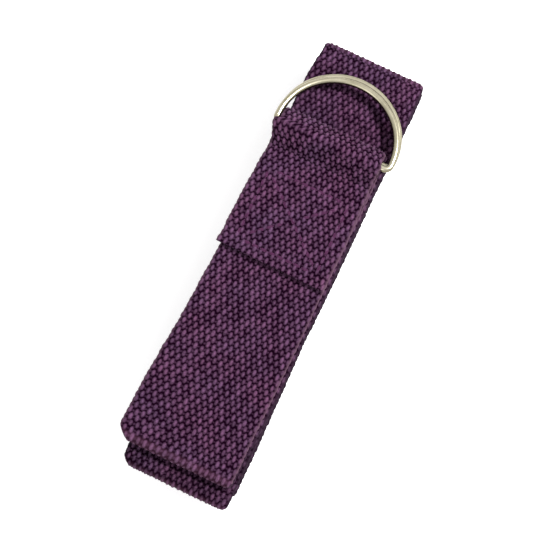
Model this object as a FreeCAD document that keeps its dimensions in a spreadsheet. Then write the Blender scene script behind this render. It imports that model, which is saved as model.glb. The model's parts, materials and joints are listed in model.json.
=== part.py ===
import FreeCAD, Part
import math
import os

import Sketcher

# A stretching strap of heavy cotton webbing, folded flat in a zigzag and laid down on a table.
# X runs along the runs of webbing, towards the end with the rings. Y runs across them. Z is up.
# The origin is the middle of the lowest run's underside. All sizes are in millimetres.
# run_01 is the top run, with the rings. The webbing then folds back and forth down to the last run.
# Odd folds lie at the -X end of the bundle and even folds at the +X end.

DIMENSIONS = [
    ("webbing_width", 38.0),
    ("webbing_thickness", 2.2),
    ("run_pitch", 2.6),
    ("run_count", 11),
    ("fold_bore_radius", 0.2),
    ("free_end_reach", 72.3),
    ("free_end_shift", -0.2),
    ("loop_place", 46.8),
    ("loop_shift", 2.0),
    ("loop_skew", 0.4),
    ("loop_width", 37.0),
    ("loop_bore_radius", 3.1),
    ("loop_ramp", 8.0),
    ("loop_length", 13.0),
    ("tab_end_place", -0.6),
    ("ring_wire", 2.3),
    ("ring_inner_width", 40.2),
    ("ring_inner_height", 21.6),
    ("ring_corner_radius", 2.0),
    ("ring_droop", 7.0),
    ("ring_stack", 2.4),
    ("ring_stagger", 1.2),
    ("ring_shift", -0.9),
    ("ring_splay", 0.8),
    ("stitch_length", 2.3),
    ("stitch_gap", 0.8),
    ("stitch_width", 0.7),
    ("stitch_height", 0.3),
    ("stitch_margin", 4.0),
    ("end_stitch_rows", 3),
]

# How far each fold's centre lies from the middle of the bundle, and how far it has drifted sideways.
FOLDS = [
    (72.1, 3.0),
    (78.9, 0.0),
    (79.6, 0.0),
    (79.1, 0.3),
    (78.0, 0.2),
    (79.3, -0.4),
    (76.3, 0.5),
    (79.2, 0.1),
    (74.5, -0.5),
    (78.8, 0.3),
]

doc = FreeCAD.newDocument("stretching_strap")
sheet = doc.addObject("Spreadsheet::Sheet", "Dimensions")


def fill_sheet():
    """Writes the driving dimensions, each as a name, a number and an alias."""
    rows = list(DIMENSIONS)
    for number, (reach, shift) in enumerate(FOLDS, start=1):
        rows.append((f"fold_{number:02d}_reach", reach))
        rows.append((f"fold_{number:02d}_shift", shift))
    for row, (name, value) in enumerate(rows, start=1):
        sheet.set(f"A{row}", name)
        sheet.set(f"B{row}", str(value))
        sheet.setAlias(f"B{row}", name)
    doc.recompute()


def cell(name):
    """The number in the cell with this alias."""
    return float(getattr(sheet, name))


def bound(expression):
    """The expression with every dimension's name replaced by a reference to its cell."""
    names = [name for name, _ in DIMENSIONS]
    for number in range(1, len(FOLDS) + 1):
        names += [f"fold_{number:02d}_reach", f"fold_{number:02d}_shift"]
    for name in names:
        expression = expression.replace(name, f"Dimensions.{name}")
    return expression


def plane(body, role):
    """One of a body's own origin planes."""
    return next(feature for feature in body.Origin.OriginFeatures if feature.Role == role)


def new_sketch(body, role):
    """A sketch on one of the body's own origin planes."""
    sketch = body.newObject("Sketcher::SketchObject", body.Name + "_outline")
    sketch.AttachmentSupport = [(plane(body, role), "")]
    sketch.MapMode = "FlatFace"
    return sketch


def fix_distance(sketch, kind, line, end, expression):
    """Ties one end of a line to the sketch's origin by a bound distance along one axis."""
    point = sketch.getPoint(line, end)
    drawn = point.x if kind == "DistanceX" else point.y
    index = sketch.addConstraint(Sketcher.Constraint(kind, -1, 1, line, end, drawn))
    sketch.setExpression(f"Constraints[{index}]", bound(expression))


def draw_polygon(sketch, corners):
    """A closed outline of straight lines through corners given as pairs of expressions."""
    count = len(corners)
    for index in range(count):
        turn = 2 * math.pi * index / count
        step = 2 * math.pi * (index + 1) / count
        start = FreeCAD.Vector(math.cos(turn), math.sin(turn), 0)
        finish = FreeCAD.Vector(math.cos(step), math.sin(step), 0)
        sketch.addGeometry(Part.LineSegment(start, finish))
    for index in range(count):
        sketch.addConstraint(Sketcher.Constraint("Coincident", index, 2, (index + 1) % count, 1))
    for index, (across, up) in enumerate(corners):
        fix_distance(sketch, "DistanceX", index, 1, across)
        fix_distance(sketch, "DistanceY", index, 1, up)


def pad(body, sketch, length, both_ways=False):
    """Pads the sketch by a bound length, all one way or half each way."""
    feature = body.newObject("PartDesign::Pad", body.Name + "_pad")
    feature.Profile = sketch
    feature.setExpression("Length", bound(length))
    if both_ways:
        feature.SideType = "Symmetric"
    return feature


def new_body(name):
    """A body that becomes one sub-part."""
    body = doc.addObject("PartDesign::Body", name)
    body.Label = name
    return body


def flat_webbing(name, corners, underside):
    """A flat length of webbing with a four-cornered outline, lying at a bound height."""
    body = new_body(name)
    sketch = new_sketch(body, "XY_Plane")
    draw_polygon(sketch, corners)
    pad(body, sketch, "webbing_thickness")
    body.setExpression("Placement.Base.z", bound(underside))
    return body


def fold_corners(number, towards):
    """The two corners that a run has at a fold, the one on the -Y side first."""
    place = f"{towards} * fold_{number:02d}_reach"
    return [
        (place, f"fold_{number:02d}_shift - webbing_width / 2"),
        (place, f"fold_{number:02d}_shift + webbing_width / 2"),
    ]


def loop_corners():
    """The two corners at the slanting line where the flat webbing runs into the ring loop."""
    place = "loop_place - loop_length / cos(loop_skew * 1deg)"
    slant = "webbing_width / 2 * tan(loop_skew * 1deg)"
    return [
        (f"{place} - {slant}", "loop_shift - webbing_width / 2"),
        (f"{place} + {slant}", "loop_shift + webbing_width / 2"),
    ]


def make_run(number):
    """One straight run between two folds. The first ends at the loop and the last at its free end."""
    last = int(cell("run_count"))
    odd = number % 2 == 1
    low_fold, high_fold = (number, number - 1) if odd else (number - 1, number)
    if number == last:
        low_end = [
            ("-1 * free_end_reach", "free_end_shift - webbing_width / 2"),
            ("-1 * free_end_reach", "free_end_shift + webbing_width / 2"),
        ]
    else:
        low_end = fold_corners(low_fold, -1)
    high_end = loop_corners() if number == 1 else fold_corners(high_fold, 1)
    corners = [low_end[0], high_end[0], high_end[1], low_end[1]]
    flat_webbing(f"run_{number:02d}", corners, f"(run_count - {number}) * run_pitch")


def make_fold(number):
    """The half turn of webbing that joins a run to the one below it."""
    name = f"fold_{number:02d}"
    side = 1 if number % 2 == 0 else -1
    shells = []
    for part, radius in (
        ("outside", "fold_bore_radius + webbing_thickness"),
        ("bore", "fold_bore_radius"),
    ):
        shell = doc.addObject("Part::Cylinder", f"{name}_{part}")
        shell.setExpression("Radius", bound(radius))
        shell.setExpression("Height", bound("webbing_width"))
        shell.Angle = 180
        shells.append(shell)
    bend = doc.addObject("Part::Cut", name)
    bend.Base, bend.Tool = shells
    bend.Label = name
    upright = FreeCAD.Rotation(FreeCAD.Vector(1, 0, 0), -90)
    outward = FreeCAD.Rotation(FreeCAD.Vector(0, 1, 0), side * -90)
    bend.Placement = FreeCAD.Placement(FreeCAD.Vector(), outward.multiply(upright))
    middle = f"(run_count - {number} - 0.5) * run_pitch + webbing_thickness / 2"
    bend.setExpression("Placement.Base.x", bound(f"{side} * fold_{number:02d}_reach"))
    bend.setExpression("Placement.Base.y", bound(f"fold_{number:02d}_shift - webbing_width / 2"))
    bend.setExpression("Placement.Base.z", bound(middle))


def ring_axis():
    """The centre of the loop's bore, about which the pair of rings swings."""
    height = (cell("run_count") - 1) * cell("run_pitch") + cell("webbing_thickness")
    return FreeCAD.Vector(
        cell("loop_place"), cell("loop_shift"), height + cell("loop_bore_radius")
    )


def tangent_angle(radius, away, height):
    """The angle, from +X, at which a line from (-away, height) touches the top of a circle."""
    distance = math.hypot(away, height)
    return math.atan2(height, -away) - math.acos(radius / distance)


def draw_loop(sketch):
    """The loop's section: webbing round the bars, and both layers together where they meet."""
    bore = cell("loop_bore_radius")
    thick = cell("webbing_thickness")
    outside = bore + thick
    ramp = cell("loop_ramp")
    length = cell("loop_length")
    top = thick - bore
    turn = tangent_angle(outside, ramp, top)
    down = math.radians(-90)
    centre = FreeCAD.Vector(0, 0, 0)
    normal = FreeCAD.Vector(0, 0, 1)

    def at(radius):
        return FreeCAD.Vector(radius * math.cos(turn), radius * math.sin(turn), 0)

    foot = FreeCAD.Vector(-ramp, top, 0)
    slope = foot - at(outside)
    closing = at(bore) + slope * ((-bore - at(bore).y) / slope.y)
    low_back = FreeCAD.Vector(-length, -outside, 0)
    low_front = FreeCAD.Vector(0, -outside, 0)
    high_back = FreeCAD.Vector(-length, top, 0)
    bore_front = FreeCAD.Vector(0, -bore, 0)
    sketch.addGeometry(Part.LineSegment(low_back, low_front))
    sketch.addGeometry(Part.ArcOfCircle(Part.Circle(centre, normal, outside), down, turn))
    sketch.addGeometry(Part.LineSegment(at(outside), foot))
    sketch.addGeometry(Part.LineSegment(foot, high_back))
    sketch.addGeometry(Part.LineSegment(high_back, low_back))
    sketch.addGeometry(Part.ArcOfCircle(Part.Circle(centre, normal, bore), down, turn))
    sketch.addGeometry(Part.LineSegment(at(bore), closing))
    sketch.addGeometry(Part.LineSegment(closing, bore_front))
    low, arc, slant, flat, back, bore_arc, bore_slant, floor = range(8)
    for rule in (
        ("Tangent", low, 2, arc, 1),
        ("Tangent", arc, 2, slant, 1),
        ("Coincident", slant, 2, flat, 1),
        ("Coincident", flat, 2, back, 1),
        ("Coincident", back, 2, low, 1),
        ("Coincident", arc, 3, -1, 1),
        ("Coincident", bore_arc, 3, -1, 1),
        ("Tangent", bore_arc, 2, bore_slant, 1),
        ("Coincident", bore_slant, 2, floor, 1),
        ("Tangent", floor, 2, bore_arc, 1),
        ("Horizontal", low),
        ("Horizontal", flat),
        ("Vertical", back),
        ("Horizontal", floor),
        ("Parallel", slant, bore_slant),
    ):
        sketch.addConstraint(Sketcher.Constraint(*rule))
    for line, radius, expression in (
        (arc, outside, "loop_bore_radius + webbing_thickness"),
        (bore_arc, bore, "loop_bore_radius"),
    ):
        index = sketch.addConstraint(Sketcher.Constraint("Radius", line, radius))
        sketch.setExpression(f"Constraints[{index}]", bound(expression))
    fix_distance(sketch, "DistanceX", slant, 2, "-1 * loop_ramp")
    fix_distance(sketch, "DistanceY", slant, 2, "webbing_thickness - loop_bore_radius")
    fix_distance(sketch, "DistanceX", back, 1, "-1 * loop_length")


def make_loop():
    """The end of the webbing turned over the rings' bars, a little askew."""
    body = new_body("ring_loop")
    sketch = new_sketch(body, "XZ_Plane")
    draw_loop(sketch)
    pad(body, sketch, "loop_width", both_ways=True)
    askew = FreeCAD.Rotation(FreeCAD.Vector(0, 0, 1), -cell("loop_skew"))
    body.Placement = FreeCAD.Placement(ring_axis(), askew)


def make_tab():
    """The end of the webbing, laid back on the top run and sewn down."""
    cut_end = [
        ("tab_end_place", "loop_shift - webbing_width / 2"),
        ("tab_end_place", "loop_shift + webbing_width / 2"),
    ]
    loop_end = loop_corners()
    corners = [cut_end[0], loop_end[0], loop_end[1], cut_end[1]]
    flat_webbing("tab", corners, "(run_count - 1) * run_pitch + webbing_thickness")


def ring_piece(kind, name, sizes, place, turn):
    """One length of a ring's wire, with bound sizes, in the ring's own frame."""
    piece = doc.addObject(kind, name)
    for size, expression in sizes.items():
        piece.setExpression(size, bound(expression))
    piece.Placement = FreeCAD.Placement(FreeCAD.Vector(), turn)
    for axis, expression in zip("xyz", place):
        piece.setExpression(f"Placement.Base.{axis}", bound(expression))
    return piece


def make_ring(name, level, splay):
    """A D-ring of round wire: a straight bar, two corners, two short legs and a half circle.

    The bar lies along the ring's own Y and the bow points along its own X. level is +1 for the
    ring that lies on top and -1 for the one below. splay turns the ring a little within the loop.
    """
    wire = "ring_wire / 2"
    half = "(ring_inner_width + ring_wire) / 2"
    corner = "ring_corner_radius"
    bow_place = "ring_inner_height + ring_wire / 2 - ring_inner_width / 2"
    x_axis = FreeCAD.Vector(1, 0, 0)
    y_axis = FreeCAD.Vector(0, 1, 0)
    z_axis = FreeCAD.Vector(0, 0, 1)
    along_y = FreeCAD.Rotation(x_axis, -90)
    along_x = FreeCAD.Rotation(y_axis, 90)
    pieces = [
        ring_piece(
            "Part::Cylinder",
            name + "_bar",
            {"Radius": wire, "Height": f"2 * ({half} - {corner})"},
            ("0", f"{corner} - {half}", "0"),
            along_y,
        ),
        ring_piece(
            "Part::Torus",
            name + "_bow",
            {"Radius1": half, "Radius2": wire, "Angle3": "180"},
            (bow_place, "0", "0"),
            FreeCAD.Rotation(z_axis, -90),
        ),
    ]
    for side, turn in ((-1, 180), (1, 90)):
        pieces.append(
            ring_piece(
                "Part::Torus",
                f"{name}_corner_{len(pieces)}",
                {"Radius1": corner, "Radius2": wire, "Angle3": "90"},
                (corner, f"{side} * ({half} - {corner})", "0"),
                FreeCAD.Rotation(z_axis, turn),
            )
        )
        pieces.append(
            ring_piece(
                "Part::Cylinder",
                f"{name}_leg_{len(pieces)}",
                {"Radius": wire, "Height": f"{bow_place} - {corner}"},
                (corner, f"{side} * {half}", "0"),
                along_x,
            )
        )
    ring = doc.addObject("Part::MultiFuse", name)
    ring.Shapes = pieces
    ring.Refine = True
    ring.Label = name
    droop = math.radians(cell("ring_droop"))
    skew = FreeCAD.Rotation(z_axis, -cell("loop_skew"))
    outward = skew.multVec(FreeCAD.Vector(math.cos(droop), 0, -math.sin(droop)))
    upward = skew.multVec(FreeCAD.Vector(math.sin(droop), 0, math.cos(droop)))
    leftward = skew.multVec(y_axis)
    place = ring_axis() + leftward * cell("ring_shift")
    place = place + upward * (level * cell("ring_stack") / 2)
    place = place - outward * (level * cell("ring_stagger"))
    turned = FreeCAD.Rotation(z_axis, splay * cell("ring_splay") - cell("loop_skew"))
    drooped = FreeCAD.Rotation(y_axis, cell("ring_droop"))
    ring.Placement = FreeCAD.Placement(place, turned.multiply(drooped))


def stitch_row(start, finish, height):
    """Stitches in a straight row from start to finish, each a small bar on the webbing's face."""
    length = cell("stitch_length")
    step = length + cell("stitch_gap")
    wide = cell("stitch_width")
    run = FreeCAD.Vector(finish[0] - start[0], finish[1] - start[1], 0)
    count = int((run.Length + cell("stitch_gap")) // step)
    spare = run.Length + cell("stitch_gap") - count * step
    angle = math.degrees(math.atan2(run.y, run.x))
    stitches = []
    for index in range(count):
        along = spare / 2 + index * step
        bar = Part.makeBox(length, wide, cell("stitch_height"), FreeCAD.Vector(along, -wide / 2, 0))
        bar.rotate(FreeCAD.Vector(), FreeCAD.Vector(0, 0, 1), angle)
        bar.translate(FreeCAD.Vector(start[0], start[1], height))
        stitches.append(bar)
    return stitches


def add_stitching(name, stitches):
    """One sub-part that holds all the stitches of a seam as separate solids."""
    seam = doc.addObject("Part::Feature", name)
    seam.Label = name
    seam.Shape = Part.makeCompound(stitches)
    seam.Placement = FreeCAD.Placement()


def make_tab_stitching():
    """A box of stitches with a cross in it, which holds the tab down on the top run."""
    margin = cell("stitch_margin")
    skew = math.radians(cell("loop_skew"))
    low = cell("tab_end_place") + margin
    high = cell("loop_place") - cell("loop_length") / math.cos(skew) - margin
    side = cell("webbing_width") / 2 - margin
    middle = cell("loop_shift")
    height = (cell("run_count") - 1) * cell("run_pitch") + 2 * cell("webbing_thickness")
    inset = cell("stitch_length")
    near, far = low + inset, high - inset
    right, left = middle - side, middle + side
    crossing = ((near + far) / 2, middle)
    stitches = []
    for x in (low, high):
        stitches += stitch_row((x, right + inset), (x, left - inset), height)
    for y in (right, left):
        stitches += stitch_row((low, y), (high, y), height)
    stitches += stitch_row((near, right + inset), (far, left - inset), height)
    for x, y in ((near, left - inset), (far, right + inset)):
        reach = math.hypot(x - crossing[0], y - crossing[1])
        share = 1 - inset / reach
        inner = (x + (crossing[0] - x) * share, y + (crossing[1] - y) * share)
        stitches += stitch_row((x, y), inner, height)
    add_stitching("tab_stitching", stitches)


def make_end_stitching():
    """Rows of stitches across the free end, which keep the cut edge from fraying."""
    step = cell("stitch_gap") + 2 * cell("stitch_width")
    side = cell("webbing_width") / 2 - cell("stitch_gap")
    middle = cell("free_end_shift")
    stitches = []
    for row in range(int(cell("end_stitch_rows"))):
        x = -cell("free_end_reach") + (row + 1) * step
        stitches += stitch_row((x, middle - side), (x, middle + side), cell("webbing_thickness"))
    add_stitching("end_stitching", stitches)


def check_model():
    """Stops if any object failed, or if any sub-part has no sound shape."""
    for item in doc.Objects:
        if {"Invalid", "Error"} & set(item.State):
            raise RuntimeError(f"{item.Label} failed: {item.State}")
    for part in sub_parts():
        shape = part.Shape
        if shape.isNull() or not shape.isValid() or not shape.Solids:
            raise RuntimeError(f"{part.Label} has no sound shape")


def sub_parts():
    """The finished sub-parts, found by the names that they are exported under."""
    last = int(cell("run_count"))
    names = [f"run_{number:02d}" for number in range(1, last + 1)]
    names += [f"fold_{number:02d}" for number in range(1, last)]
    names += ["ring_loop", "tab", "tab_stitching", "end_stitching", "ring_upper", "ring_lower"]
    return [doc.getObjectsByLabel(name)[0] for name in names]


fill_sheet()
for run_number in range(1, int(cell("run_count")) + 1):
    make_run(run_number)
for fold_number in range(1, int(cell("run_count"))):
    make_fold(fold_number)
make_loop()
make_tab()
make_tab_stitching()
make_end_stitching()
make_ring("ring_lower", -1, -1)
make_ring("ring_upper", 1, 1)
doc.recompute()
check_model()

os.makedirs("parts", exist_ok=True)
for part in sub_parts():
    part.Shape.exportStep(f"parts/{part.Label}.step")
    box = part.Shape.BoundBox
    print(
        f"{part.Label:15s} solids {len(part.Shape.Solids):3d} volume {part.Shape.Volume:9.2f} "
        f"x {box.XMin:7.2f} {box.XMax:7.2f} y {box.YMin:7.2f} {box.YMax:7.2f} "
        f"z {box.ZMin:6.2f} {box.ZMax:6.2f}"
    )
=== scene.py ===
import json
import math

import bpy
import numpy as np
from mathutils import Matrix, Vector


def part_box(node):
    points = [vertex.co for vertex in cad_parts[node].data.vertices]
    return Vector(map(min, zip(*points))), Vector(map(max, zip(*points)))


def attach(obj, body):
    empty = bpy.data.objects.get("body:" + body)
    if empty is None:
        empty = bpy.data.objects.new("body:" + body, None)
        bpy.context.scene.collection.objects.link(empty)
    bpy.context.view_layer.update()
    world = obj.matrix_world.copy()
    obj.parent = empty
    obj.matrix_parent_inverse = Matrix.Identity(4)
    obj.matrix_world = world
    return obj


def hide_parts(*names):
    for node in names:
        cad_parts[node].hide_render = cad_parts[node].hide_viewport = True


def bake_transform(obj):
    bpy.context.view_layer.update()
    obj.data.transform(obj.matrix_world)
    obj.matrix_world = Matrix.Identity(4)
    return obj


# A stretching strap of heavy plum cotton webbing, folded flat in a zigzag.
# All working sizes are in millimetres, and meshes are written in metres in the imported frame.

MM = 0.001
WIDTH = 38.0
COLUMNS = 37  # warp yarns side by side across the webbing
PITCH = WIDTH / COLUMNS  # one yarn's width
MID_RADIUS = 1.3  # of a fold's mid line: half the step from one run down to the next
PERIOD = MID_RADIUS * math.pi  # one full wave of a yarn; the mid line of a fold is one wave long
ROW = PERIOD / 2
RISE = 0.30  # how far a warp yarn stands above the mean face where it crosses over a weft
SUNK = -0.34  # the deepest place between the yarns
WARP_HALF, WARP_REACH = 0.64, 1.22  # a warp bump's half width and half length
WEFT_HALF, WEFT_REACH = 0.60, 0.66  # the same for the weft seen in the dips
FLAT_SHARE = 0.988  # how much of the half width the woven face takes up, inside the selvedges
YARN_STEPS = 4  # mesh steps across one yarn
TOP_STEPS, RUN_STEPS, LOOP_STEPS = 5.6, 4, 6  # mesh steps along one row
FOLD_STEPS = 18  # mesh steps round one fold
LOWER_RUN_SHADE = 2.2  # painted shade: how much darker the runs below the second are, in steps of bump tint
CREST = 1.6  # how far the top fold's crest, rubbed and lightened as a painted highlight, reaches onto the run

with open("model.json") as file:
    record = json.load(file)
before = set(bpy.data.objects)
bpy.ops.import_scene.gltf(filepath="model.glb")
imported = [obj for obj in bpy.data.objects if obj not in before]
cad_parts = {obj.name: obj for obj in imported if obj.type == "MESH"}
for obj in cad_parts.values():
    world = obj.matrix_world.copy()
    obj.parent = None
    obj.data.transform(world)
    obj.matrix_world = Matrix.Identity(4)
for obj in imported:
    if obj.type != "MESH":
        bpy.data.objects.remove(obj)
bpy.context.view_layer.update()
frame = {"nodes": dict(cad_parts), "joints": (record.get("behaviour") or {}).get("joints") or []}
joints = {joint["name"]: joint for joint in frame["joints"]}


def box(node):
    low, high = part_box(node)
    return np.array(low) / MM, np.array(high) / MM


def end_of(node, side):
    """Where a node's straight end lies along X, and the middle of that end across."""
    co = np.array([v.co for v in frame["nodes"][node].data.vertices]) / MM
    x = co[:, 0].min() if side < 0 else co[:, 0].max()
    edge = co[np.abs(co[:, 0] - x) < 0.01]
    return x, (edge[:, 1].min() + edge[:, 1].max()) / 2


RUNS = sum(1 for name in frame["nodes"] if name.startswith("run_"))
THICK = box("run_02")[1][2] - box("run_02")[0][2]
FOLD = {}
for number in range(1, RUNS):
    low, high = box(f"fold_{number:02d}")
    side = 1 if number % 2 == 0 else -1
    FOLD[number] = {
        "side": side,
        "x": low[0] if side > 0 else high[0],
        "y": (low[1] + high[1]) / 2,
        "z": (low[2] + high[2]) / 2,
    }
FREE_X, FREE_Y = end_of(f"run_{RUNS:02d}", -1)
TAB_X, TAB_Y = end_of("tab", -1)
swing = joints["ring_pair_swing"]
RING_AT = np.array(swing["pos_m"]) / MM
SKEW = math.atan2(-swing["axis"][0], -swing["axis"][1])
LOOP_LENGTH = 13.0  # from the rings' axis back to where the loop ends and the top run begins
FOOT = -8.7  # where the loop comes down to the tab, behind its axis
WIRE = 2.3  # the rings' bar


# ---------------------------------------------------------------- small noise helpers


def hashed(*keys):
    """Repeatable noise from 0 to 1 for whole-number keys."""
    value = np.zeros(np.broadcast(*keys).shape)
    for index, key in enumerate(keys):
        value = value + np.asarray(key, float) * (12.9898 + 37.719 * index)
    return np.mod(np.sin(value) * 43758.5453, 1.0)


def drift(at, seed):
    """Smooth noise along a line, about -1 to 1, with a unit wavelength."""
    base = np.floor(at)
    part = at - base
    part = part * part * (3 - 2 * part)
    first = hashed(base, np.full_like(base, seed))
    second = hashed(base + 1, np.full_like(base, seed))
    return (first * (1 - part) + second * part) * 2 - 1


def ease(t):
    t = np.clip(t, 0, 1)
    return t * t * (3 - 2 * t)


# ---------------------------------------------------------------- weave


def weave(column, row, face):
    """Height of a face's relief and each point's bump tint.

    column is the place across in yarn widths from 0 to COLUMNS, row the place along in rows,
    and face is +1 for the strap's outer face and -1 for its other one. Each warp yarn stands up
    in a rounded bump where it crosses over a weft, and the weft shows dimly where it dips.
    """
    best = np.full(column.shape, SUNK)
    tint = np.zeros(column.shape)
    home = np.clip(np.floor(column), 0, COLUMNS - 1)
    for offset in (-1, 0, 1):
        yarn = home + offset
        inside = (yarn >= 0) & (yarn <= COLUMNS - 1)
        parity = np.mod(yarn + (face < 0), 2)
        phase = row + 0.13 * drift(row * 0.55 + yarn * 17.3, 21.0) + parity
        over = 2 * np.round(phase / 2)
        under = 2 * np.round((phase - 1) / 2) + 1
        lively = hashed(yarn, over - parity, np.full_like(yarn, 3.0) + face)
        aside = hashed(yarn, over - parity, np.full_like(yarn, 7.0)) - 0.5
        across = (column - yarn - 0.5 - 0.22 * aside) * PITCH
        along = (phase - over) * ROW
        dip = (phase - under) * ROW
        warp = RISE * (0.75 + 0.5 * lively)
        warp = warp - 0.42 * (across / WARP_HALF) ** 2
        warp = warp - 0.42 * (np.abs(along) / WARP_REACH) ** 2.4
        weft = -0.05 + 0.10 * lively
        weft = weft - 0.30 * (across / WEFT_HALF) ** 2 - 0.35 * (dip / WEFT_REACH) ** 2
        height = np.where(inside, np.maximum(warp, weft), SUNK)
        taken = height > best
        tint = np.where(taken, lively * 2 - 1, tint)
        best = np.where(taken, height, best)
    return best, tint


def cross_samples():
    """Places round the section, from -1 to 1 of the half width, and which face each is on."""
    flat = np.linspace(0, COLUMNS, COLUMNS * YARN_STEPS + 1)
    inner = (flat / COLUMNS * 2 - 1) * FLAT_SHARE
    rim = np.array([1 - 0.0075, 1 - 0.003, 1 - 0.0006])
    upper = np.concatenate([-rim[::-1], inner, rim])
    across = np.concatenate([upper, upper[::-1]])
    face = np.concatenate([np.ones(len(upper)), -np.ones(len(upper))])
    return across, face


class Strip:
    """A length of webbing as stations along its mid surface."""

    def __init__(self):
        self.centre, self.across, self.normal, self.along = [], [], [], []
        self.left, self.right, self.depth, self.wear_and_highlight = [], [], [], []

    def add(self, centre, across, normal, along, left, right, depth=1.0, wear_and_highlight=0.0):
        """Adds a station.

        across is how a step of one millimetre across moves, along is the length of strap so far,
        left and right are the half widths, depth scales the relief, and the last value is 1 where
        the strap is rubbed and lightened as a painted highlight.
        """
        self.centre.append(centre)
        self.across.append(across)
        self.normal.append(normal)
        self.along.append(along)
        self.left.append(left)
        self.right.append(right)
        self.depth.append(depth)
        self.wear_and_highlight.append(wear_and_highlight)


def selvedge(q, row, along, near_edge):
    """How far the edge stands out, one bead for each pick and a slow drift, and the beads."""
    bead = np.sqrt(np.abs(np.sin(math.pi * (row + 0.25 * np.sign(q))))) - 0.6
    keep = np.where(q > 0, 11.0, 29.0)
    pick = np.floor(row + 0.25 * np.sign(q))
    jitter = hashed(pick, keep) - 0.5
    sway = drift(along / 17.0 + keep, 5.0) * 0.16 + drift(along / 5.3 + keep, 9.0) * 0.09
    out = near_edge * (0.30 * bead + 0.22 * jitter) + ease((np.abs(q) - 0.8) / 0.2) * sway
    return out, bead


def strip_faces(count, around):
    """The quads of a tube of count rings of around points, closed by a strip of quads at each end."""
    index = np.arange(count * around).reshape(count, around)
    a = index[:-1, :]
    b = index[1:, :]
    quads = np.stack([a, np.roll(a, -1, 1), np.roll(b, -1, 1), b], -1).reshape(-1, 4)
    faces = [quads]
    half_around = around // 2
    for ring, flip in ((index[0], True), (index[-1], False)):
        top = ring[:half_around]
        bottom = ring[half_around:][::-1]
        cap = np.stack([top[:-1], bottom[:-1], bottom[1:], top[1:]], -1)
        faces.append(cap[:, ::-1] if flip else cap)
    return np.concatenate(faces)


def build_strip(name, strip, front, folds, rim=1.0, run_shade=0.0):
    """Meshes a strip with its woven relief.

    front is +1 where the strap's outer face is on the normal's side. folds are the folds that
    the strip touches, whose corners are pinched in. rim is 1 for selvedges lightened as rubbing
    and a painted highlight, and -1 for selvedges darkened with painted shade, and the last
    argument is painted shade that darkens the whole strip.
    """
    across, face = cross_samples()
    centre = np.array(strip.centre)[:, None, :]
    step = np.array(strip.across)[:, None, :]
    normal = np.array(strip.normal)[:, None, :]
    along = np.array(strip.along)[:, None]
    left = np.array(strip.left)[:, None]
    right = np.array(strip.right)[:, None]
    depth = np.array(strip.depth)[:, None]
    wear_and_highlight = np.array(strip.wear_and_highlight)[:, None]
    count, around = len(strip.along), len(across)
    q = across[None, :] + np.zeros((count, 1))
    side = face[None, :] + np.zeros((count, 1))
    row = along / ROW + np.zeros((1, around))
    column = np.clip((q / FLAT_SHARE + 1) / 2 * COLUMNS, 0, COLUMNS)
    relief, tint = weave(column, row, side * front)
    # a cross section with rounded selvedges
    edge = np.abs(q)
    round_off = np.sqrt(np.clip(1 - edge**26, 0, 1))
    near_edge = ease((edge - 0.955) / 0.04)
    height = (THICK / 2 - 0.22) * round_off + relief * depth * (1 - 0.55 * near_edge)
    height = np.maximum(height, 0.04 * (1 - near_edge))
    out, bead = selvedge(q, row, along, near_edge)
    place = q * np.where(q > 0, left, right) + np.sign(q) * out
    point = centre + step * place[..., None] + normal * (side * height)[..., None]
    point = pinch(point.reshape(-1, 3), folds)
    # the relief's level sets the painted shade between the yarns in the material, and on the
    # selvedges it follows the beads
    level = np.clip((relief - SUNK) / (RISE - SUNK), 0, 1)
    level = level * (1 - near_edge) + near_edge * (0.35 + 0.4 * np.clip(bead, 0, 1))
    # the flattened strap's own place, for the dye's noise
    flat_at = np.stack([q * WIDTH / 2, along + 0 * q, side * front * 1.1], -1).reshape(-1, 3) * MM
    faces = strip_faces(count, around)
    if outward(point, faces) < 0:
        faces = faces[:, ::-1]
    piece = mesh_piece(name, point * MM, faces)
    sharpen(piece, around)
    put(piece, "relief", level.ravel())
    # the bump tint, lowered by the painted shade of the runs below the second
    put(piece, "tint", tint.ravel() - run_shade)
    put(piece, "wear_and_highlight", (wear_and_highlight + 0 * q).ravel())
    # rim: +1 for a selvedge rubbed and lightened as a painted highlight, -1 for painted shade
    put(piece, "rim", (rim * near_edge).ravel())
    put_vector(piece, "flat_at", flat_at)
    return piece


def outward(points, quads):
    """A number that is below 0 where the quads of a closed mesh are wound inwards."""
    middle = points.mean(0)
    a, b, c, d = (points[quads[:, i]] - middle for i in range(4))
    return float((a * np.cross(b, c)).sum() + (a * np.cross(c, d)).sum())


def mesh_piece(name, points, quads):
    mesh = bpy.data.meshes.new(name)
    mesh.vertices.add(len(points))
    mesh.vertices.foreach_set("co", points.astype(np.float32).ravel())
    mesh.loops.add(quads.size)
    mesh.loops.foreach_set("vertex_index", quads.astype(np.int32).ravel())
    mesh.polygons.add(len(quads))
    mesh.polygons.foreach_set("loop_start", np.arange(0, quads.size, 4, dtype=np.int32))
    mesh.polygons.foreach_set("use_smooth", np.ones(len(quads), bool))
    mesh.update(calc_edges=True)
    mesh.validate()
    piece = bpy.data.objects.new(name, mesh)
    bpy.context.scene.collection.objects.link(piece)
    return piece


def sharpen(piece, around):
    """Marks the edges of both end caps as sharp, so that they don't shade into the faces."""
    mesh = piece.data
    ends = np.zeros(len(mesh.edges) * 2, np.int32)
    mesh.edges.foreach_get("vertices", ends)
    ends = ends.reshape(-1, 2)
    last = len(mesh.vertices) - around
    at_end = (ends < around).all(1) | (ends >= last).all(1)
    layer = mesh.attributes.new("sharp_edge", "BOOLEAN", "EDGE")
    layer.data.foreach_set("value", at_end)


def put(piece, name, values):
    layer = piece.data.attributes.new(name, "FLOAT", "POINT")
    layer.data.foreach_set("value", np.asarray(values, np.float32).ravel())


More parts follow.
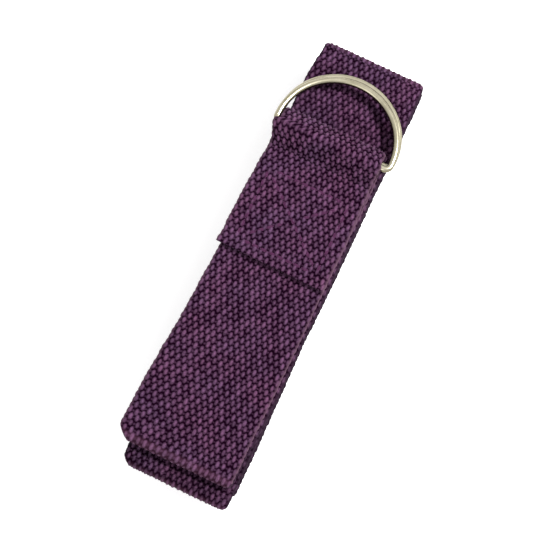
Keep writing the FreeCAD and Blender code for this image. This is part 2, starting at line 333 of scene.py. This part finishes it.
def put_vector(piece, name, values):
    layer = piece.data.attributes.new(name, "FLOAT_VECTOR", "POINT")
    layer.data.foreach_set("vector", np.asarray(values, np.float32).ravel())


# ---------------------------------------------------------------- where every run lies

UP = np.array([0.0, 0.0, 1.0])
EVEN = np.array([0.0, 1.0, 0.0])


def run_ends(number):
    """The two ends of a run as (x, y), the -X end first."""
    odd = number % 2 == 1
    low, high = (number, number - 1) if odd else (number - 1, number)
    start = (FREE_X, FREE_Y) if number == RUNS else (FOLD[low]["x"], FOLD[low]["y"])
    finish = (None, None) if number == 1 else (FOLD[high]["x"], FOLD[high]["y"])
    return start, finish


# Length of strap from the middle of the loop to the start of each run, going down the bundle.
line_x = RING_AT[0] - LOOP_LENGTH / math.cos(SKEW)
strap_at = {1: 0.0}
span = {1: line_x - FOLD[1]["x"]}
for number in range(2, RUNS + 1):
    start, finish = run_ends(number)
    span[number] = finish[0] - start[0]
    strap_at[number] = strap_at[number - 1] + span[number - 1] + math.pi * MID_RADIUS


def edges(number, x):
    """Where the two selvedges of a run lie at x, the left one first."""
    if number == 1:
        # the left selvedge spreads towards the top fold, and the right one is straight
        return 21.3 + 3.6 * ease((4.0 - x) / 78.0), -17.95
    if number == 2:
        # the left selvedge spreads towards the top fold and draws in at the far end
        left = 20.1 + 4.1 * ease((-25.0 - x) / 48.0) - 1.0 * ease((x - 66.0) / 13.0)
        right = -19.1 + 0.9 * ease((-45.0 - x) / 28.0) + 0.3 * ease((x - 60.0) / 19.0)
        return left, right
    # the runs below go straight from end to end, with a slight wander
    (x0, y0), (x1, y1) = run_ends(number)
    t = (x - x0) / (x1 - x0)
    wander = math.sin(math.pi * min(max(t, 0.0), 1.0)) ** 2 * 0.35
    middle = y0 + (y1 - y0) * t + wander * float(drift(np.array([t * 3.1]), number)[0])
    half = 18.9 + 0.8 * ease((-15.0 - x) / 60.0)
    return middle + half, middle - half


# How far each fold's corners are pinched in: the left corner, then the right one.
PINCHES = {1: (4.4, 1.3), 2: (1.4, 1.3), 3: (3.2, 1.6)}


def pinch(points, folds):
    """Draws in the corners of folds, which have been squeezed between fingers."""
    for number in folds:
        fold = FOLD[number]
        tip = fold["x"] + fold["side"] * (MID_RADIUS + THICK / 2)
        left, right = edges(number, fold["x"])
        for corner, side, size in zip((left, right), (1, -1), PINCHES.get(number, (1.6, 1.3))):
            past_x = fold["side"] * (points[:, 0] - tip)
            past_y = side * (points[:, 1] - corner)
            beyond = (past_x + past_y + size) / math.sqrt(2)
            drawn = 0.9 * (np.sqrt(beyond**2 + 0.25) + beyond) / 2
            drawn = np.where(np.abs(past_x) < 12.0, drawn, 0.0) / math.sqrt(2)
            points[:, 0] -= fold["side"] * drawn
            points[:, 1] -= side * drawn
    return points


def make_run(number, row_steps):
    """One straight run of webbing, as its own piece, and its length."""
    (x0, _), (x1, _) = run_ends(number)
    low, high = box(f"run_{number:02d}")
    z = (low[2] + high[2]) / 2
    odd = number % 2 == 1
    if number == 1:
        x1 = line_x
    total = x1 - x0
    count = int(round(total / (ROW / row_steps)))
    strip = Strip()
    for i in range(count + 1):
        t = i / count
        x = x0 + total * t
        lean = math.tan(SKEW) * ease((t - 0.45) / 0.55) if number == 1 else 0.0
        along = strap_at[number] + (x1 - x if odd else x - x0)
        left, right = edges(number, x)
        middle = RING_AT[1] if number == 1 else (left + right) / 2
        crest = ease((x0 + CREST - x) / CREST)
        depth = 1.0 - 0.45 * crest if number in (1, 2) else 1.0
        strip.add(
            np.array([x, middle, z]),
            np.array([lean, 1.0, 0.0]),
            UP,
            along,
            left - middle,
            middle - right,
            depth,
            # the top run's crest: rubbed and lightened as a painted highlight
            0.6 * crest if number == 1 else 0.0,
        )
    folds = [k for k in (number - 1, number) if k in FOLD]
    # the top run's selvedges are rubbed and lightened as a painted highlight; those below get painted
    # shade
    rim = 1.0 if number == 1 else -1.0
    front = 1 if odd else -1
    # painted shade on the runs below the second
    run_shade = LOWER_RUN_SHADE if number > 2 else 0.0
    piece = build_strip(f"webbing_run_{number:02d}", strip, front, folds, rim, run_shade)
    return piece, total


def make_fold(number):
    """The half turn between a run and the one below it, as its own piece."""
    fold = FOLD[number]
    strip = Strip()
    upper = edges(number, fold["x"])
    lower = edges(number + 1, fold["x"])
    above = RING_AT[1] if number == 1 else (upper[0] + upper[1]) / 2
    below = (lower[0] + lower[1]) / 2
    for i in range(FOLD_STEPS + 1):
        t = i / FOLD_STEPS
        angle = math.pi / 2 - math.pi * t
        out = np.array([fold["side"] * math.cos(angle), 0.0, math.sin(angle)])
        middle = above + (below - above) * t
        left = upper[0] + (lower[0] - upper[0]) * t
        right = upper[1] + (lower[1] - upper[1]) * t
        centre = np.array([fold["x"], middle, fold["z"]]) + out * MID_RADIUS
        along = strap_at[number] + span[number] + math.pi * t * MID_RADIUS
        depth = 0.55 if number == 1 else 1.0
        # the fold's outward crest, and the top fold's upper half, rubbed and lightened as a painted
        # highlight
        wear_and_highlight = max(math.cos(angle) ** 2, 0.6 * (1 - t)) if number == 1 else math.cos(angle) ** 2
        strip.add(centre, EVEN, out, along, left - middle, middle - right, depth, wear_and_highlight)
    # painted shade on the folds below the second
    run_shade = LOWER_RUN_SHADE if number > 2 else 0.0
    # the fold's selvedges get painted shade
    return build_strip(f"webbing_fold_{number:02d}", strip, 1, [number], -1.0, run_shade)


def bar(name):
    """Where a ring's bar lies in the loop's own plane, from the corner of the ring's box."""
    low, high = box(name)
    return np.array([low[0] + WIRE / 2 - RING_AT[0], high[2] - WIRE / 2 - RING_AT[2]])


def arc(centre, radius, start, finish, count):
    angles = np.radians(np.linspace(start, finish, count))
    return [centre + radius * np.array([math.cos(a), math.sin(a)]) for a in angles]


def loop_path(radius, tab_level):
    """The mid line of the loop in its own plane: forward under the bars, over them and back."""
    nose_radius = 2.85
    nose = np.array([radius - nose_radius, nose_radius - radius])
    crown_radius = WIRE / 2 + 1.0
    crown = bar("ring_upper")
    apart = crown - nose
    heading = math.degrees(math.atan2(apart[1], apart[0]))
    reach = np.linalg.norm(apart)
    leaves = heading - math.degrees(math.acos((nose_radius - crown_radius) / reach))
    foot = np.array([FOOT, tab_level])
    fall = foot - crown
    heading = math.degrees(math.atan2(fall[1], fall[0])) % 360
    reach = np.linalg.norm(fall)
    lands = heading - math.degrees(math.acos(crown_radius / reach))
    path = [np.array([x, -radius]) for x in np.linspace(-LOOP_LENGTH, nose[0], 40)]
    path += arc(nose, nose_radius, -90, leaves, 40)[1:]
    shoulder = len(path)
    path += arc(crown, crown_radius, leaves, lands, 30)
    slope = foot - path[-1]
    path += [foot - slope * (1 - t) for t in np.linspace(0, 1, 20)[1:]]
    path += [np.array([x, tab_level]) for x in np.linspace(FOOT, -LOOP_LENGTH - 1.5, 14)[1:]]
    path = np.array(path)
    lengths = np.concatenate([[0], np.cumsum(np.linalg.norm(np.diff(path, axis=0), axis=1))])
    return path, lengths, lengths[shoulder]


# Half widths of the loop to the left and right: under the bars, at the nose, at the shoulder
# before its top, on top, at the foot behind the bars, and where the tab begins. The left selvedge
# bulges over the rings.
LOOP_LEFT = (19.3, 18.8, 19.0, 20.9, 19.0, 19.6)
LOOP_RIGHT = (19.95, 19.0, 19.1, 19.5, 19.4, 19.5)


def make_loop():
    """The end of the strap: round the rings' bars and back along the top run, to its cut end."""
    skew_x = np.array([math.cos(SKEW), -math.sin(SKEW), 0.0])
    skew_y = np.array([math.sin(SKEW), math.cos(SKEW), 0.0])
    radius = RING_AT[2] - (box("run_01")[0][2] + THICK / 2)
    tab_level = box("tab")[0][2] + THICK / 2 - RING_AT[2]
    path, lengths, shoulder = loop_path(radius, tab_level)
    total = lengths[-1]
    nose = lengths[path[:, 0].argmax()]
    crest = lengths[path[:, 1].argmax()]
    foot = lengths[np.hypot(path[:, 0] - FOOT, path[:, 1] - tab_level).argmin()]
    marks = (LOOP_LENGTH * 0.4, nose, shoulder, crest, foot, total)
    spacing = ROW / LOOP_STEPS
    count = int(round(total / spacing))
    at = np.linspace(0, total, count + 1)
    xs = np.interp(at, lengths, path[:, 0])
    zs = np.interp(at, lengths, path[:, 1])
    smooth = np.array([0.05, 0.1, 0.2, 0.3, 0.2, 0.1, 0.05])
    xs[3:-3] = np.convolve(xs, smooth, "valid")
    zs[3:-3] = np.convolve(zs, smooth, "valid")
    dx, dz = np.gradient(xs, at), np.gradient(zs, at)
    norm = np.hypot(dx, dz)
    dx, dz = dx / norm, dz / norm
    slant = -LOOP_LENGTH * math.tan(SKEW)
    strip = Strip()
    for i in range(count + 1):
        forward = at[i] < nose
        away = ease((xs[i] + LOOP_LENGTH + (0.0 if forward else 1.5)) / LOOP_LENGTH)
        if xs[i] > 0:
            away = 1.0
        scale = (1 / math.cos(SKEW)) * (1 - away) + away
        mark = np.interp(at[i], marks, range(len(marks)))
        step = int(min(mark, len(marks) - 2))
        share = ease(mark - step)
        left = LOOP_LEFT[step] * (1 - share) + LOOP_LEFT[step + 1] * share
        right = LOOP_RIGHT[step] * (1 - share) + LOOP_RIGHT[step + 1] * share
        centre = RING_AT + skew_x * xs[i] + UP * zs[i] + skew_y * (slant * (1 - away))
        normal = skew_x * dz[i] - UP * dx[i]
        strip.add(centre, skew_y * scale, normal, -at[i], left, right)
    tab_total = add_tab(strip, total, RING_AT[2] + tab_level, spacing)
    # the loop and tab keep selvedges rubbed and lightened as a painted highlight
    piece = build_strip("webbing_tab", strip, 1, [])
    return piece, total + tab_total


def add_tab(strip, total, level, spacing):
    """Goes on from the loop, whose length is total, to the tab's cut end, and gives the length."""
    start = strip.centre[-1]
    tab_total = start[0] - TAB_X
    tab_count = int(round(tab_total / spacing))
    for i in range(1, tab_count + 1):
        t = i / tab_count
        x = start[0] - tab_total * t
        y = start[1] + (TAB_Y - start[1]) * ease(t * 1.5)
        lean = math.tan(SKEW) * (1 - ease(t / 0.8)) + 0.016 * ease((t - 0.5) / 0.5)
        left = LOOP_LEFT[-1] + 0.7 * ease(t / 0.5) + 0.4 * ease((t - 0.88) / 0.12)
        right = LOOP_RIGHT[-1] + 0.4 * ease(t / 0.6)
        strip.add(
            np.array([x, y, level]),
            np.array([lean, 1.0, 0.0]),
            UP,
            -total - tab_total * t,
            left,
            right,
        )
    return tab_total


# ---------------------------------------------------------------- sewing thread


def islands(node):
    """Splits a CAD node into its loose solids, each as an array of points."""
    data = frame["nodes"][node].data
    parent = list(range(len(data.vertices)))

    def root(i):
        while parent[i] != i:
            parent[i] = parent[parent[i]]
            i = parent[i]
        return i

    for edge in data.edges:
        a, b = edge.vertices
        parent[root(a)] = root(b)
    groups = {}
    for i, vertex in enumerate(data.vertices):
        groups.setdefault(root(i), []).append(list(vertex.co))
    return [np.array(group) / MM for group in groups.values()]


THREAD_RADIUS = 0.17
THREAD_SINK = 0.14  # how much deeper a stitch's ends go than its middle
THREAD_LOW = 0.36  # how far a stitch's middle lies below that of the CAD's bar
THREAD_SIDES = 8
THREAD_TWIST = 0.8


def make_threads(name, node):
    """Replaces a CAD node's stitches by round stitches of thread, sunk into the webbing."""
    points, quads = [], []
    for solid in islands(node):
        middle = solid.mean(0)
        flat = solid[:, :2] - middle[:2]
        direction = np.linalg.svd(flat, full_matrices=False)[2][0]
        half = np.abs(flat @ direction).max() - 0.1
        side = np.array([-direction[1], direction[0], 0.0])
        ahead = np.array([direction[0], direction[1], 0.0])
        base = len(points)
        stations = np.linspace(-1, 1, 9)
        for s in stations:
            thick = THREAD_RADIUS * math.sqrt(max(1 - abs(s) ** 5, 0.02))
            dip = THREAD_SINK * s * s
            for k in range(THREAD_SIDES):
                angle = math.tau / THREAD_SIDES * k + s * THREAD_TWIST
                points.append(
                    middle
                    + ahead * half * s
                    + side * math.cos(angle) * thick
                    + UP * (math.sin(angle) * thick - THREAD_LOW - dip)
                )
        for j in range(len(stations) - 1):
            for k in range(THREAD_SIDES):
                a = base + j * THREAD_SIDES + k
                b = base + j * THREAD_SIDES + (k + 1) % THREAD_SIDES
                quads.append((a, b, b + THREAD_SIDES, a + THREAD_SIDES))
    return mesh_piece(name, np.array(points) * MM, np.array(quads))


# ---------------------------------------------------------------- materials


class Graph:
    """A material and its nodes, with a short call for each kind of node that is used here."""

    def __init__(self, name):
        self.material = bpy.data.materials.new(name)
        self.material.use_nodes = True
        self.tree = self.material.node_tree
        self.shader = self.tree.nodes["Principled BSDF"]

    def node(self, kind, **settings):
        made = self.tree.nodes.new(kind)
        for key, value in settings.items():
            setattr(made, key, value)
        return made

    def link(self, source, target):
        self.tree.links.new(source, target)

    def attribute(self, name):
        return self.node("ShaderNodeAttribute", attribute_name=name)

    def math(self, operation, *values):
        made = self.node("ShaderNodeMath", operation=operation)
        for index, value in enumerate(values):
            if isinstance(value, (int, float)):
                made.inputs[index].default_value = value
            else:
                self.link(value, made.inputs[index])
        return made.outputs[0]

    def noise(self, vector, scale, detail=3.0, roughness=0.6):
        made = self.node("ShaderNodeTexNoise")
        made.inputs["Scale"].default_value = scale
        made.inputs["Detail"].default_value = detail
        made.inputs["Roughness"].default_value = roughness
        self.link(vector, made.inputs["Vector"])
        return made.outputs["Fac"]

    def mix(self, factor, first, second):
        made = self.node("ShaderNodeMix", data_type="RGBA")
        for index, value in ((0, factor), (6, first), (7, second)):
            target = made.inputs[index]
            if isinstance(value, (int, float)):
                target.default_value = value
            elif isinstance(value, tuple):
                target.default_value = (*value, 1.0)
            else:
                self.link(value, target)
        return made.outputs[2]

    def ramp(self, factor, low, high):
        made = self.node("ShaderNodeMapRange", clamp=True)
        made.inputs["From Min"].default_value = low
        made.inputs["From Max"].default_value = high
        self.link(factor, made.inputs["Value"])
        return made.outputs["Result"]

    def bump(self, height, strength, distance):
        made = self.node("ShaderNodeBump")
        made.inputs["Strength"].default_value = strength
        made.inputs["Distance"].default_value = distance
        self.link(height, made.inputs["Height"])
        self.link(made.outputs["Normal"], self.shader.inputs["Normal"])


DYE_RED = (0.096, 0.036, 0.080)
DYE_BLUE = (0.080, 0.036, 0.080)
# painted shade: the near-black colour put between the yarns, where shade falls
SHADE_BETWEEN_YARNS = (0.006, 0.0006, 0.005)
# rubbed crests, lightened also as a painted highlight
RUBBED_AND_HIGHLIT = (0.14, 0.055, 0.095)
# selvedges of the top pieces: rubbed and lightened as a painted highlight
WORN_LIT_EDGE = (0.14, 0.075, 0.11)
# painted shade: selvedges of the pieces below
SHADED_EDGE = (0.016, 0.009, 0.016)


def webbing_material():
    """Plum cotton: painted shade between the yarns, the dye on their tops, mottled by its fibres."""
    g = Graph("plum_webbing")
    at = g.attribute("flat_at").outputs["Vector"]
    relief = g.attribute("relief").outputs["Fac"]
    tint = g.attribute("tint").outputs["Fac"]
    wear_and_highlight = g.attribute("wear_and_highlight").outputs["Fac"]
    rim = g.attribute("rim").outputs["Fac"]
    patches = g.ramp(g.noise(at, scale=60.0), 0.36, 0.64)
    dye = g.mix(patches, DYE_RED, DYE_BLUE)
    # painted shade: lower parts of the relief are coloured darker, towards the near-black between the
    # yarns
    height = g.ramp(relief, 0.26, 1.0)
    colour = g.mix(height, SHADE_BETWEEN_YARNS, dye)
    fibres = g.ramp(g.noise(at, scale=2200.0, detail=4.0, roughness=0.7), 0.32, 0.68)
    lively = g.math("MULTIPLY_ADD", tint, 0.14, 0.56)
    lively = g.math("MULTIPLY_ADD", fibres, 1.0, lively)
    value = g.node("ShaderNodeHueSaturation")
    g.link(colour, value.inputs["Color"])
    g.link(lively, value.inputs["Value"])
    # crests: rubbed and lightened as a painted highlight
    worn_and_highlit = g.mix(g.math("MULTIPLY", wear_and_highlight, 0.30), value.outputs["Color"], RUBBED_AND_HIGHLIT)
    # selvedges: lightened on the top pieces as rubbing and a painted highlight, darkened with painted
    # shade below
    edge_wear_and_highlight = g.math("MULTIPLY", g.math("MAXIMUM", rim, 0.0), 0.5)
    edged = g.mix(edge_wear_and_highlight, worn_and_highlit, WORN_LIT_EDGE)
    edge_shade = g.math("MULTIPLY", g.math("MAXIMUM", g.math("MULTIPLY", rim, -1.0), 0.0), 0.65)
    edged = g.mix(edge_shade, edged, SHADED_EDGE)
    g.link(edged, g.shader.inputs["Base Color"])
    g.bump(g.noise(at, scale=3600.0, roughness=0.7), strength=0.7, distance=0.00016)
    g.shader.inputs["Roughness"].default_value = 0.9
    # painted shade: specular and sheen fade with the relief towards the valleys
    g.link(g.math("MULTIPLY", height, 0.16), g.shader.inputs["Specular IOR Level"])
    g.link(g.math("MULTIPLY", height, 0.15), g.shader.inputs["Sheen Weight"])
    g.shader.inputs["Sheen Roughness"].default_value = 0.5
    g.shader.inputs["Sheen Tint"].default_value = (0.85, 0.7, 0.85, 1.0)
    return g.material


THREAD_DARK = (0.050, 0.012, 0.040)
THREAD_LIGHT = (0.095, 0.026, 0.078)


def thread_material():
    g = Graph("plum_thread")
    place = g.node("ShaderNodeTexCoord").outputs["Object"]
    strands = g.noise(place, scale=2600.0)
    colour = g.mix(g.ramp(strands, 0.3, 0.7), THREAD_DARK, THREAD_LIGHT)
    g.link(colour, g.shader.inputs["Base Color"])
    g.shader.inputs["Roughness"].default_value = 0.85
    g.shader.inputs["Specular IOR Level"].default_value = 0.1
    g.shader.inputs["Sheen Weight"].default_value = 0.04
    return g.material


PLATING_CLEAN = (0.66, 0.61, 0.46)
PLATING_DULL = (0.50, 0.46, 0.32)
# painted reflection: the dark olive on the wire's sideways flanks
FLANK_REFLECTION_DARK = (0.09, 0.075, 0.03)


def metal_material():
    """Pale brass plating, with a painted dark olive reflection on the wire's flanks and plain plating
    where it faces up or down.
    """
    g = Graph("ring_plating")
    place = g.node("ShaderNodeTexCoord").outputs["Object"]
    cloudy = g.ramp(g.noise(place, scale=160.0), 0.35, 0.7)
    facing = g.node("ShaderNodeSeparateXYZ")
    g.link(g.node("ShaderNodeTexCoord").outputs["Normal"], facing.inputs[0])
    # painted reflection: flanks that face sideways are coloured dark olive
    upward = g.ramp(g.math("ABSOLUTE", facing.outputs["Z"]), 0.45, 0.97)
    bright = g.mix(cloudy, PLATING_CLEAN, PLATING_DULL)
    colour = g.mix(upward, FLANK_REFLECTION_DARK, bright)
    g.link(colour, g.shader.inputs["Base Color"])
    g.shader.inputs["Metallic"].default_value = 1.0
    rough = g.math("MULTIPLY_ADD", g.noise(place, scale=900.0, detail=4.0), 0.16, 0.16)
    g.link(rough, g.shader.inputs["Roughness"])
    g.bump(g.noise(place, scale=1400.0), strength=0.12, distance=0.00005)
    return g.material


def floor_material():
    g = Graph("pale_floor")
    g.shader.inputs["Base Color"].default_value = (0.9, 0.9, 0.9, 1.0)
    g.shader.inputs["Emission Color"].default_value = (1.0, 1.0, 1.0, 1.0)
    g.shader.inputs["Emission Strength"].default_value = 0.45
    g.shader.inputs["Roughness"].default_value = 0.9
    g.shader.inputs["Specular IOR Level"].default_value = 0.0
    return g.material


webbing_look = webbing_material()
thread_look = thread_material()
metal_look = metal_material()

# ---------------------------------------------------------------- pieces

run_pieces = {}
for number in range(1, RUNS + 1):
    piece, length = make_run(number, TOP_STEPS if number == 1 else RUN_STEPS)
    piece.data.materials.append(webbing_look)
    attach(piece, f"run_{number:02d}")
    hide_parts(f"run_{number:02d}")
    run_pieces[number] = (piece, length)

for number in range(1, RUNS):
    piece = make_fold(number)
    piece.data.materials.append(webbing_look)
    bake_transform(piece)
    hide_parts(f"fold_{number:02d}")

    run, length = run_pieces[number]
run, length = run_pieces[RUNS]

tab_piece, tab_length = make_loop()
tab_piece.data.materials.append(webbing_look)
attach(tab_piece, "run_01")
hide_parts("ring_loop", "tab")

for name in ("ring_upper", "ring_lower"):
    node = frame["nodes"][name]
    node.data.materials.clear()
    node.data.materials.append(metal_look)
for name, rider in (("tab_stitching", "run_01"), ("end_stitching", f"run_{RUNS:02d}")):
    piece = make_threads(name.replace("stitching", "thread"), name)
    piece.data.materials.append(thread_look)
    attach(piece, rider)
    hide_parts(name)

# ---------------------------------------------------------------- stage


def plane_object(name, size, z):
    mesh = bpy.data.meshes.new(name)
    s = size / 2
    mesh.from_pydata([(-s, -s, z), (s, -s, z), (s, s, z), (-s, s, z)], [], [(0, 1, 2, 3)])
    made = bpy.data.objects.new(name, mesh)
    bpy.context.scene.collection.objects.link(made)
    return made


FLOOR_SIZE = 60.0
FLOOR_LEVEL = -0.0002
floor = plane_object("floor", FLOOR_SIZE, FLOOR_LEVEL)
floor.data.materials.append(floor_material())


def area_light(name, place, target, size, energy):
    data = bpy.data.lights.new(name, "AREA")
    data.shape = "DISK"
    data.size = size
    data.energy = energy
    made = bpy.data.objects.new(name, data)
    bpy.context.scene.collection.objects.link(made)
    made.location = Vector(place)
    made.rotation_mode = "QUATERNION"
    made.rotation_quaternion = (Vector(target) - Vector(place)).to_track_quat("-Z", "Y")
    return made


LIT = (0, 0, 0.02)
area_light("key", (0.46, -0.50, 0.92), LIT, size=0.22, energy=19.0)
area_light("fill", (-0.8, 0.2, 0.7), LIT, size=0.9, energy=2.5)

world = bpy.data.worlds.new("studio")
bpy.context.scene.world = world
world.use_nodes = True
world.node_tree.nodes["Background"].inputs["Color"].default_value = (1.0, 1.0, 1.0, 1.0)
world.node_tree.nodes["Background"].inputs["Strength"].default_value = 0.76
bpy.context.scene.view_settings.view_transform = "Standard"

# ---------------------------------------------------------------- camera

TILT = math.radians(8.0)
LEAN = math.radians(204.6)
ROLL = math.radians(25.55)
DISTANCE = 0.5
FOCAL_PIXELS = 1461.0
IMAGE = 550.0
SENSOR = 36.0
target = Vector((-2.0, -0.3, 25.0)) * MM
back = Vector(
    (
        math.sin(TILT) * math.cos(LEAN),
        math.sin(TILT) * math.sin(LEAN),
        math.cos(TILT),
    )
)
rough_up = Vector((math.cos(ROLL), math.sin(ROLL), 0))
right = (-back).cross(rough_up).normalized()
upright = right.cross(-back)
camera_data = bpy.data.cameras.new("camera")
camera_data.sensor_width = SENSOR
camera_data.lens = FOCAL_PIXELS / IMAGE * SENSOR
camera = bpy.data.objects.new("camera", camera_data)
bpy.context.scene.collection.objects.link(camera)
camera.matrix_world = Matrix(
    (
        (right.x, upright.x, back.x, 0),
        (right.y, upright.y, back.y, 0),
        (right.z, upright.z, back.z, 0),
        (0, 0, 0, 1),
    )
)
camera.location = target + back * DISTANCE
camera_data.clip_start = 0.01
camera_data.clip_end = 20.0
bpy.context.scene.camera = camera
